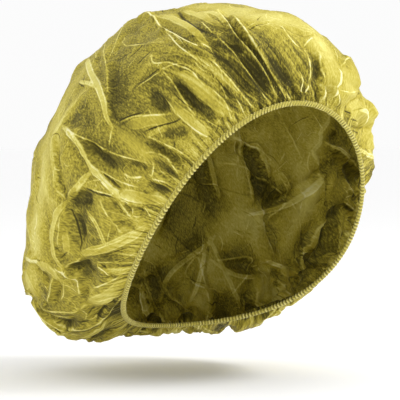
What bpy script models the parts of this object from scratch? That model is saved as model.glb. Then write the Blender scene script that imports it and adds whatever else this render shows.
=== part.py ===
"""Disposable hair cover cap, in the form that it takes when worn.

A round sheet of thin non-woven cloth is gathered along an elastic edge. The edge runs over the
forehead, down over both ears and round the nape, and the sheet stands off as a bag that is full
at the crown and hangs as a pouch behind. +Z is up, the forehead is at -Y, and the origin is at
the centre of the opening.
"""

import math
from collections import namedtuple

import bmesh
import bpy
import numpy as np

COLLECTION_NAME = "hair_cover_cap"

# Sizes in metres, angles in degrees.
OPENING_WIDTH = 0.156
OPENING_LENGTH = 0.225
OPENING_TILT = 42.5
EAR_DROP = 0.026
BAG_WIDTH = 0.217
BAG_LENGTH = 0.284
BAG_DEPTH = 0.159
POUCH_SAG = 0.018
POUCH_SPREAD = 0.060
NAPE_TUCK = 0.100
FOLD_WIDTH = 0.0155
FOLD_HEIGHT = 0.0095
GATHER_HEIGHT = 0.0050
CLOTH_THICKNESS = 0.0015
HEM_DIAMETER = 0.0042
PIECE_GAP = 0.0003

# The opening's own directions: up the face and forward, and into the bag.
TILT = math.radians(OPENING_TILT)
FORWARD = np.array([0.0, -math.cos(TILT), math.sin(TILT)])
INWARD = np.array([0.0, math.sin(TILT), math.cos(TILT)])
SIDEWAYS = np.array([1.0, 0.0, 0.0])

GATHERS = 54
COLUMNS = 2 * GATHERS
ROWS = 22
ROW_CROWDING = 1.25

# Where along the cloth the form changes, as rises from 0 at the rim to 1 at the pole. The bag's
# back is squarer than an oval between the first two, the rim's drop at the ears is gone by the
# third, the folds are whole from the fourth, and the gathers are whole at the fifth and die out
# over the last.
FULL_RISE = 0.15
ROUND_RISE = 0.62
EAR_DROP_RISE = 0.22
FOLD_START_RISE = 0.04
GATHER_RISE = 0.05
GATHER_FADE = 0.06

# The back half begins where minus the cosine of the turn passes this. Fullness is the power that
# squares the back, and the pouch sags most on both sides of the nape, least at its middle.
BACK_START = 0.35
BACK_FULLNESS = 0.66
SAG_RISE = 2.9
SAG_FALL = 2.75
EAR_DROP_LEAN = 0.25

# The pouch spreads by the share POUCH_SPREAD at its two lower corners and is drawn in by the share
# NAPE_TUCK at the middle of the nape. Places are minus the cosine of the turn. The spread is whole
# from FULL_RISE and dies out below its top, the tuck likewise from its own rise.
CORNER_PLACE = 0.70
CORNER_SPAN = 0.22
CORNER_TOP = 0.52
CORNER_FADE = 0.30
TUCK_PLACE = 0.78
TUCK_RISE = 0.07
TUCK_TOP = 0.34
TUCK_FADE = 0.22

# The gathers are higher and lower by turns along the rim, in this many waves.
GATHER_WAVES = 7
GATHER_UNEVENNESS = 0.25
HEM_PLEAT_RADIUS = 0.84

# Rings of the bag from the rim to the pole. Rise is the place along the cloth, depth is a share
# of BAG_DEPTH, width of BAG_WIDTH, length and shift of BAG_LENGTH, and sag of POUCH_SAG.
Ring = namedtuple("Ring", "rise depth width length shift sag")
RINGS = [
    Ring(0.080, 0.05, 0.83, 0.93, -0.036, 0.55),
    Ring(0.165, 0.19, 0.94, 1.02, -0.050, 1.00),
    Ring(0.275, 0.36, 1.00, 1.02, -0.060, 1.00),
    Ring(0.410, 0.56, 0.93, 0.90, -0.078, 0.60),
    Ring(0.530, 0.72, 0.80, 0.77, -0.082, 0.20),
    Ring(0.675, 0.86, 0.60, 0.56, -0.094, 0.00),
    Ring(0.875, 0.98, 0.24, 0.22, -0.100, 0.00),
    Ring(1.000, 1.00, 0.00, 0.00, -0.105, 0.00),
]

# Folds, each a crest or a dent along a line through three places. Turn is in degrees from the
# forehead, minus on the wearer's right. Width is a share of FOLD_WIDTH on each side of the line,
# height a share of FOLD_HEIGHT, minus for a dent.
Fold = namedtuple("Fold", "turn_1 rise_1 turn_2 rise_2 turn_3 rise_3 width height")
FOREHEAD_FOLDS = [
    Fold(-33, 0.58, -33, 0.37, -30, 0.22, 0.8, 0.6),
    Fold(-23, 0.50, -26, 0.35, -27, 0.24, 0.8, 0.7),
    Fold(-33, 0.45, -33, 0.22, -24, 0.02, 0.7, 0.8),
    Fold(-29, 0.36, -28, 0.18, -21, 0.04, 0.7, -0.7),
    Fold(-22, 0.45, -25, 0.26, -17, 0.02, 0.8, 0.9),
    Fold(-19, 0.36, -21, 0.17, -14, 0.04, 0.8, -0.9),
    Fold(-14, 0.43, -17, 0.18, -9, 0.02, 0.8, 1.0),
    Fold(-11, 0.24, -10, 0.11, -5, 0.03, 1.0, -0.9),
    Fold(2, 0.18, 2, 0.10, 2, 0.02, 0.7, 0.7),
    Fold(9, 0.22, 2, 0.15, -4, 0.22, 0.8, 0.5),
    Fold(6, 0.17, 8, 0.12, 8, 0.04, 0.7, -0.7),
    Fold(16, 0.14, 15, 0.08, 20, 0.02, 0.8, 0.7),
    Fold(-14, 0.27, 0, 0.23, 13, 0.22, 0.8, 0.5),
    Fold(20, 0.27, 16, 0.18, 9, 0.13, 0.9, -0.8),
    Fold(40, 0.20, 31, 0.12, 25, 0.03, 0.8, -0.9),
    Fold(37, 0.17, 38, 0.11, 33, 0.03, 1.0, 0.8),
    Fold(47, 0.16, 44, 0.08, 38, 0.02, 0.8, -0.9),
    Fold(55, 0.14, 51, 0.07, 46, 0.02, 0.9, 0.8),
]
SIDE_FOLDS = [
    Fold(-64, 0.57, -60, 0.31, -65, 0.16, 0.9, 1.0),
    Fold(-53, 0.48, -57, 0.29, -60, 0.20, 0.8, -0.8),
    Fold(-70, 0.47, -62, 0.37, -57, 0.30, 0.7, 0.5),
    Fold(-37, 0.58, -46, 0.51, -53, 0.41, 0.8, 0.5),
    Fold(-43, 0.26, -35, 0.16, -33, 0.02, 0.8, 1.0),
    Fold(-41, 0.21, -39, 0.13, -37, 0.04, 0.7, -1.0),
    Fold(-46, 0.23, -43, 0.13, -42, 0.03, 0.7, 0.7),
    Fold(-48, 0.24, -48, 0.18, -49, 0.12, 1.0, -0.9),
    Fold(-62, 0.20, -55, 0.17, -46, 0.13, 0.7, 0.6),
    Fold(-58, 0.13, -50, 0.11, -45, 0.10, 0.7, -0.6),
    Fold(-59, 0.12, -54, 0.08, -53, 0.02, 0.7, 0.7),
    Fold(-76, 0.36, -68, 0.18, -59, 0.06, 0.8, 0.8),
    Fold(-74, 0.27, -71, 0.18, -66, 0.10, 0.8, -1.0),
    Fold(-79, 0.38, -76, 0.20, -73, 0.08, 0.8, 1.1),
    Fold(-80, 0.42, -85, 0.30, -89, 0.20, 0.8, 0.5),
    Fold(-69, 0.13, -65, 0.07, -62, 0.02, 0.7, 0.6),
    Fold(-75, 0.18, -86, 0.19, -98, 0.20, 0.8, 0.8),
    Fold(-80, 0.16, -76, 0.09, -70, 0.02, 0.8, 0.8),
    Fold(-85, 0.16, -89, 0.13, -92, 0.10, 1.1, -1.2),
    Fold(-97, 0.11, -90, 0.08, -82, 0.02, 0.9, 1.0),
    Fold(-97, 0.11, -105, 0.17, -122, 0.32, 0.9, 0.9),
    Fold(-105, 0.14, -100, 0.09, -95, 0.05, 0.8, -0.9),
    Fold(-110, 0.09, -102, 0.04, -96, 0.01, 0.8, 0.8),
    Fold(-104, 0.18, -107, 0.12, -113, 0.07, 0.8, 0.6),
    Fold(-131, 0.26, -119, 0.10, -108, 0.02, 0.9, 1.0),
    Fold(-137, 0.21, -130, 0.14, -123, 0.08, 1.0, -1.1),
    Fold(-140, 0.21, -132, 0.10, -121, 0.02, 0.8, 0.9),
    Fold(-146, 0.16, -145, 0.09, -143, 0.03, 0.9, 0.7),
]
NAPE_FOLDS = [
    Fold(178, 0.05, 180, 0.18, 176, 0.36, 1.0, 0.4),
    Fold(168, 0.04, 167, 0.14, 170, 0.25, 1.0, -0.9),
    Fold(-170, 0.04, -169, 0.15, -173, 0.27, 1.0, -0.8),
    Fold(158, 0.04, 156, 0.20, 150, 0.40, 1.0, 0.5),
    Fold(-160, 0.04, -158, 0.19, -152, 0.38, 1.0, 0.5),
    Fold(165, 0.52, 140, 0.46, 118, 0.44, 0.9, 0.6),
    Fold(-168, 0.54, -145, 0.47, -115, 0.45, 0.9, 0.6),
    Fold(160, 0.72, -170, 0.62, -150, 0.58, 0.9, 0.5),
]
FAR_SIDE_TURN = 5
CREST_STEPS = 12

CLOTH_COLOR = (0.66, 0.60, 0.16, 1.0)
HEM_COLOR = (0.58, 0.52, 0.11, 1.0)


def ring_value(rise, at_rim, shares, size):
    """A size of the bag at each rise, on a smooth curve through the rings."""
    rises = np.array([0.0] + [ring.rise for ring in RINGS])
    values = np.array([at_rim] + [share * size for share in shares])
    slopes = np.gradient(values, rises)
    step = np.clip(np.searchsorted(rises, rise, side="right") - 1, 0, len(rises) - 2)
    span = rises[step + 1] - rises[step]
    part = (rise - rises[step]) / span
    rest = 1 - part
    ends = (1 + 2 * part) * rest**2 * values[step] + (3 - 2 * part) * part**2 * values[step + 1]
    bends = part * rest**2 * slopes[step] - part**2 * rest * slopes[step + 1]
    return ends + span * bends


def eased(share):
    """A share from 0 to 1 that starts and ends softly."""
    share = np.clip(share, 0, 1)
    return share**2 * (3 - 2 * share)


def pouch_swell(turn, rise):
    """How far the pouch stands out at its corners and is drawn in at the nape, as a factor."""
    place = -np.cos(turn)
    corner = np.exp(-(((place - CORNER_PLACE) / CORNER_SPAN) ** 2))
    corner = corner * eased(rise / FULL_RISE) * eased((CORNER_TOP - rise) / CORNER_FADE)
    tuck = eased((place - TUCK_PLACE) / (1 - TUCK_PLACE))
    tuck = tuck * eased(rise / TUCK_RISE) * eased((TUCK_TOP - rise) / TUCK_FADE)
    return 1 + POUCH_SPREAD * corner - NAPE_TUCK * tuck


def smooth_bag(turn, rise):
    """Points of the bag without its folds, from a turn in radians and a rise from 0 to 1."""
    depth = ring_value(rise, 0, [ring.depth for ring in RINGS], BAG_DEPTH)
    width = ring_value(rise, OPENING_WIDTH, [ring.width for ring in RINGS], BAG_WIDTH)
    length = ring_value(rise, OPENING_LENGTH, [ring.length for ring in RINGS], BAG_LENGTH)
    shift = ring_value(rise, 0, [ring.shift for ring in RINGS], BAG_LENGTH)
    sag = ring_value(rise, 0, [ring.sag for ring in RINGS], POUCH_SAG)
    behind = np.clip(BACK_START - np.cos(turn), 0, None) / (1 + BACK_START)
    low_down = np.clip(rise / FULL_RISE, 0, 1) * np.clip(1 - rise / ROUND_RISE, 0, 1)
    fullness = 1 - (1 - BACK_FULLNESS) * behind * low_down
    across = np.sign(np.sin(turn)) * np.abs(np.sin(turn)) ** fullness
    over_ears = np.sin(turn) ** 2 * (1 - EAR_DROP_LEAN * np.cos(turn))
    depth = depth - EAR_DROP * over_ears * np.clip(1 - rise / EAR_DROP_RISE, 0, 1) ** 1.5
    swell = pouch_swell(turn, rise)
    points = (
        np.multiply.outer(across * swell * width / 2, SIDEWAYS)
        + np.multiply.outer(shift + np.cos(turn) * swell * length / 2, FORWARD)
        + np.multiply.outer(depth, INWARD)
    )
    points[..., 2] -= sag * behind * (SAG_RISE - SAG_FALL * behind)
    return points


def outward_of(turn, rise):
    """The smooth bag's outward direction, from two short steps along it."""
    step = 1e-4
    at = np.clip(rise, step, 1 - 0.02)
    round_it = smooth_bag(turn + step, at) - smooth_bag(turn - step, at)
    up_it = smooth_bag(turn, at + step) - smooth_bag(turn, at - step)
    normal = np.cross(round_it, up_it)
    return normal / np.linalg.norm(normal, axis=-1, keepdims=True)


def fold_relief(points, fold):
    """How far one fold moves each point, highest on its line and nothing past its width."""
    along = np.linspace(0, 1, CREST_STEPS)
    first = (1 - along) * (1 - 2 * along)
    middle = 4 * along * (1 - along)
    last = along * (2 * along - 1)
    turns = np.radians(first * fold.turn_1 + middle * fold.turn_2 + last * fold.turn_3)
    rises = first * fold.rise_1 + middle * fold.rise_2 + last * fold.rise_3
    line = smooth_bag(turns, np.clip(rises, 0, 1))
    width = fold.width * FOLD_WIDTH
    relief = np.zeros(len(points))
    for start, end, share in zip(line[:-1], line[1:], along[:-1] + 0.5 / CREST_STEPS):
        run = end - start
        place = np.clip((points - start) @ run / (run @ run), 0, 1)
        away = np.linalg.norm(points - start - np.outer(place, run), axis=1)
        nearness = 0.5 - 0.5 * np.cos(math.pi * np.clip(1 - away / width, 0, 1))
        crest = nearness * (4 * share * (1 - share)) ** 0.3
        relief = np.maximum(relief, crest)
    return relief * fold.height * FOLD_HEIGHT


def far_side(fold):
    """The same fold on the other side of the head, a little further back."""
    turns = [FAR_SIDE_TURN - fold.turn_1, FAR_SIDE_TURN - fold.turn_2, FAR_SIDE_TURN - fold.turn_3]
    return fold._replace(turn_1=turns[0], turn_2=turns[1], turn_3=turns[2])


def bag_points(turn, rise):
    """Points of the finished bag: its smooth form, its folds and the gathers along its rim."""
    points = smooth_bag(turn, rise)
    relief = np.zeros(len(points))
    unseen = [far_side(fold) for fold in SIDE_FOLDS if fold.turn_2 < -50]
    for fold in FOREHEAD_FOLDS + SIDE_FOLDS + unseen + NAPE_FOLDS:
        relief += fold_relief(points, fold)
    pleat = np.where(np.round(turn / math.tau * COLUMNS) % 2 == 0, 1.0, -1.0)
    uneven = 1 - GATHER_UNEVENNESS * (1 - np.cos(GATHER_WAVES * turn + 1))
    gathered = np.clip(rise / GATHER_RISE, 0, 1) * np.exp(-rise / GATHER_FADE)
    relief = relief * np.clip(rise / FOLD_START_RISE, 0, 1)
    relief += GATHER_HEIGHT * pleat * uneven * gathered
    return points + outward_of(turn, rise) * relief[:, None]


def material(name, color, roughness):
    """A plain cloth surface in the piece's own colour."""
    made = bpy.data.materials.new(name)
    made.use_nodes = True
    shader = made.node_tree.nodes["Principled BSDF"]
    shader.inputs["Base Color"].default_value = color
    shader.inputs["Roughness"].default_value = roughness
    shader.inputs["Metallic"].default_value = 0.0
    return made


def cap_bag(collection):
    """The one sheet of cloth: a grid wrapped round, closed at the pole and open at the rim."""
    mesh = bpy.data.meshes.new("cap_bag")
    grid = bmesh.new()
    bmesh.ops.create_grid(grid, x_segments=COLUMNS, y_segments=ROWS, size=1.0)
    flat = np.array([vertex.co for vertex in grid.verts], dtype=float)
    turn = flat[:, 0] * math.pi
    rise = ((flat[:, 1] + 1) / 2) ** ROW_CROWDING
    for vertex, point in zip(grid.verts, bag_points(turn, rise)):
        vertex.co = point
    bmesh.ops.remove_doubles(grid, verts=grid.verts, dist=1e-5)
    bmesh.ops.recalc_face_normals(grid, faces=grid.faces)
    top = max(grid.verts, key=lambda vertex: vertex.co.z)
    if top.normal.z < 0:
        bmesh.ops.reverse_faces(grid, faces=grid.faces)
    grid.to_mesh(mesh)
    grid.free()
    mesh.shade_smooth()
    bag = bpy.data.objects.new("cap_bag", mesh)
    collection.objects.link(bag)
    bag.data.materials.append(material("nonwoven_cloth", CLOTH_COLOR, 0.75))
    wall = bag.modifiers.new("cloth_thickness", "SOLIDIFY")
    wall.thickness = CLOTH_THICKNESS
    wall.offset = -1.0
    return bag


def elastic_hem(collection):
    """The turned edge with the elastic in it, a thin roll along the rim with small pleats."""
    turn = np.linspace(0, math.tau, COLUMNS, endpoint=False)
    below = PIECE_GAP + HEM_DIAMETER / 2
    centre = smooth_bag(turn, np.zeros(COLUMNS)) - INWARD * below
    curve = bpy.data.curves.new("elastic_hem", "CURVE")
    curve.dimensions = "3D"
    curve.bevel_depth = HEM_DIAMETER / 2
    curve.bevel_resolution = 1
    roll = curve.splines.new("POLY")
    roll.points.add(COLUMNS - 1)
    roll.use_cyclic_u = True
    for index, (point, place) in enumerate(zip(roll.points, centre)):
        point.co = (*place, 1.0)
        point.radius = 1.0 if index % 2 == 0 else HEM_PLEAT_RADIUS
    hem = bpy.data.objects.new("elastic_hem", curve)
    collection.objects.link(hem)
    hem.data.materials.append(material("gathered_edge", HEM_COLOR, 0.7))
    return hem


for old in list(bpy.data.objects):
    bpy.data.objects.remove(old)
cap = bpy.data.collections.new(COLLECTION_NAME)
bpy.context.scene.collection.children.link(cap)
cap_bag(cap)
elastic_hem(cap)
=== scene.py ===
import collections
import math

import bpy
import numpy as np
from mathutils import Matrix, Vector, kdtree


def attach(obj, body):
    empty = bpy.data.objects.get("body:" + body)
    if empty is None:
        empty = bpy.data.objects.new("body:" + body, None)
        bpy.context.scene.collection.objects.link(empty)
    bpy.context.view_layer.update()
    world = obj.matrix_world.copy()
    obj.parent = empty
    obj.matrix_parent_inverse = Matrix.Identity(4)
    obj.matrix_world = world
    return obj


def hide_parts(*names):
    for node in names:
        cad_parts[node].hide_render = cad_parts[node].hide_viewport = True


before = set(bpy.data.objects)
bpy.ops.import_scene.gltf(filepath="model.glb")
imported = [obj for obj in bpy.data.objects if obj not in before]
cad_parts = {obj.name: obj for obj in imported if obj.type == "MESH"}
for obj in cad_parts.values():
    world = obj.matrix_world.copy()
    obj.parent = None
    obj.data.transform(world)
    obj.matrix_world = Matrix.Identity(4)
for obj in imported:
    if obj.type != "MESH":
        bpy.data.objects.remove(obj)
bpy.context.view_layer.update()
scene = bpy.context.scene
scene.view_settings.view_transform = "Standard"


# ------------ cap bag
# The bag is one disc of thin yellow spun-bonded non-woven, 53 cm across when flat.
# Its edge is gathered all round, so it bellies out over the crown and sags at the nape,
# and the spare cloth lies in long soft folds, sharp creases and fine pleats above the hem.

# Sizes are in metres and the tilt is in degrees. A rise, top or fade is a share of the way
# up the bag. A place or span is told from -1 at the forehead to 1 at the nape.
OPENING_WIDTH = 0.156
OPENING_LENGTH = 0.225
OPENING_TILT = 42.5
EAR_DROP = 0.026
BAG_WIDTH = 0.217
BAG_LENGTH = 0.284
BAG_DEPTH = 0.159
POUCH_SAG = 0.018
POUCH_SPREAD = 0.060
NAPE_TUCK = 0.100
FULL_RISE = 0.15
ROUND_RISE = 0.62
EAR_DROP_RISE = 0.22
BACK_START = 0.35
BACK_FULLNESS = 0.66
SAG_RISE = 2.9
SAG_FALL = 2.75
EAR_DROP_LEAN = 0.25
CORNER_PLACE = 0.70
CORNER_SPAN = 0.22
CORNER_TOP = 0.52
CORNER_FADE = 0.30
TUCK_PLACE = 0.78
TUCK_RISE = 0.07
TUCK_TOP = 0.34
TUCK_FADE = 0.22

# Rings round the bag by their rise from hem to crown, each as shares of the sizes above.
Ring = collections.namedtuple("Ring", "rise depth width length shift sag")
RINGS = (
    Ring(0.080, 0.05, 0.83, 0.93, -0.036, 0.55),
    Ring(0.165, 0.19, 0.94, 1.02, -0.050, 1.0),
    Ring(0.275, 0.36, 1.0, 1.02, -0.060, 1.0),
    Ring(0.410, 0.56, 0.93, 0.90, -0.078, 0.60),
    Ring(0.530, 0.72, 0.80, 0.77, -0.082, 0.20),
    Ring(0.675, 0.86, 0.60, 0.56, -0.094, 0.0),
    Ring(0.875, 0.98, 0.24, 0.22, -0.100, 0.0),
    Ring(1.000, 1.0, 0.0, 0.0, -0.105, 0.0),
)

TILT = math.radians(OPENING_TILT)
FORWARD = np.array([0.0, -math.cos(TILT), math.sin(TILT)])
INWARD = np.array([0.0, math.sin(TILT), math.cos(TILT)])
SIDEWAYS = np.array([1.0, 0.0, 0.0])
RISES = np.array([0.0] + [ring.rise for ring in RINGS])


def hermite(s, span, values, slopes, k):
    """A smooth curve from value k to the next, at the share s of the span between them."""
    return (
        (2 * s**3 - 3 * s**2 + 1) * values[k]
        + (s**3 - 2 * s**2 + s) * span * slopes[k]
        + (3 * s**2 - 2 * s**3) * values[k + 1]
        + (s**3 - s**2) * span * slopes[k + 1]
    )


def ring_value(rise, at_rim, name, size):
    """One measure of the rings at those rises, as a smooth curve from its value at the hem."""
    values = np.array([at_rim] + [getattr(ring, name) * size for ring in RINGS])
    slopes = np.gradient(values, RISES)
    k = np.clip(np.searchsorted(RISES, rise, side="right") - 1, 0, len(RISES) - 2)
    span = RISES[k + 1] - RISES[k]
    return hermite((rise - RISES[k]) / span, span, values, slopes, k)


def unit(value):
    """The value, held between 0 and 1."""
    return np.clip(value, 0, 1)


def eased(share):
    share = unit(share)
    return share**2 * (3 - 2 * share)


def pouch_swell(turn, rise):
    """How far the pouch stands out at its corners and is drawn in at the nape, as a factor."""
    place = -np.cos(turn)
    corner = np.exp(-(((place - CORNER_PLACE) / CORNER_SPAN) ** 2))
    corner = corner * eased(rise / FULL_RISE) * eased((CORNER_TOP - rise) / CORNER_FADE)
    tuck = eased((place - TUCK_PLACE) / (1 - TUCK_PLACE))
    tuck = tuck * eased(rise / TUCK_RISE) * eased((TUCK_TOP - rise) / TUCK_FADE)
    return 1 + POUCH_SPREAD * corner - NAPE_TUCK * tuck


def smooth_bag(turn, rise):
    """Where the bag lies without its folds. Turn 0 is the forehead, rise 0 the hem."""
    depth = ring_value(rise, 0.0, "depth", BAG_DEPTH)
    width = ring_value(rise, OPENING_WIDTH, "width", BAG_WIDTH)
    length = ring_value(rise, OPENING_LENGTH, "length", BAG_LENGTH)
    shift = ring_value(rise, 0.0, "shift", BAG_LENGTH)
    sag = ring_value(rise, 0.0, "sag", POUCH_SAG)
    behind = np.clip(BACK_START - np.cos(turn), 0, None) / (1 + BACK_START)
    low_down = unit(rise / FULL_RISE) * unit(1 - rise / ROUND_RISE)
    fullness = 1 - (1 - BACK_FULLNESS) * behind * low_down
    across = np.sign(np.sin(turn)) * np.abs(np.sin(turn)) ** fullness
    over_ears = np.sin(turn) ** 2 * (1 - EAR_DROP_LEAN * np.cos(turn))
    depth = depth - EAR_DROP * over_ears * unit(1 - rise / EAR_DROP_RISE) ** 1.5
    swell = pouch_swell(turn, rise)
    points = np.outer(across * swell * width / 2, SIDEWAYS)
    points += np.outer(shift + np.cos(turn) * swell * length / 2, FORWARD)
    points += np.outer(depth, INWARD)
    points[..., 2] -= sag * behind * (SAG_RISE - SAG_FALL * behind)
    return points


SHORT_STEP, NEAR_CROWN = 1e-4, 0.98


def outward_of(turn, rise):
    """The smooth bag's outward direction, from two short steps along it."""
    step = SHORT_STEP
    at = np.clip(rise, step, NEAR_CROWN)
    round_it = smooth_bag(turn + step, at) - smooth_bag(turn - step, at)
    up_it = smooth_bag(turn, at + step) - smooth_bag(turn, at - step)
    normal = np.cross(round_it, up_it)
    return normal / np.linalg.norm(normal, axis=-1, keepdims=True)


COLUMNS = 560
ROWS = 168
ROW_CROWDING = 1.12

turn_of = np.linspace(-math.pi, math.pi, COLUMNS, endpoint=False)
rise_of = np.linspace(0, 1, ROWS + 1)[:-1] ** ROW_CROWDING
turns, rises = (grid.ravel() for grid in np.meshgrid(turn_of, rise_of))
smooth = smooth_bag(turns, rises)
outward = outward_of(turns, rises)
POINTS = len(smooth)

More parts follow.
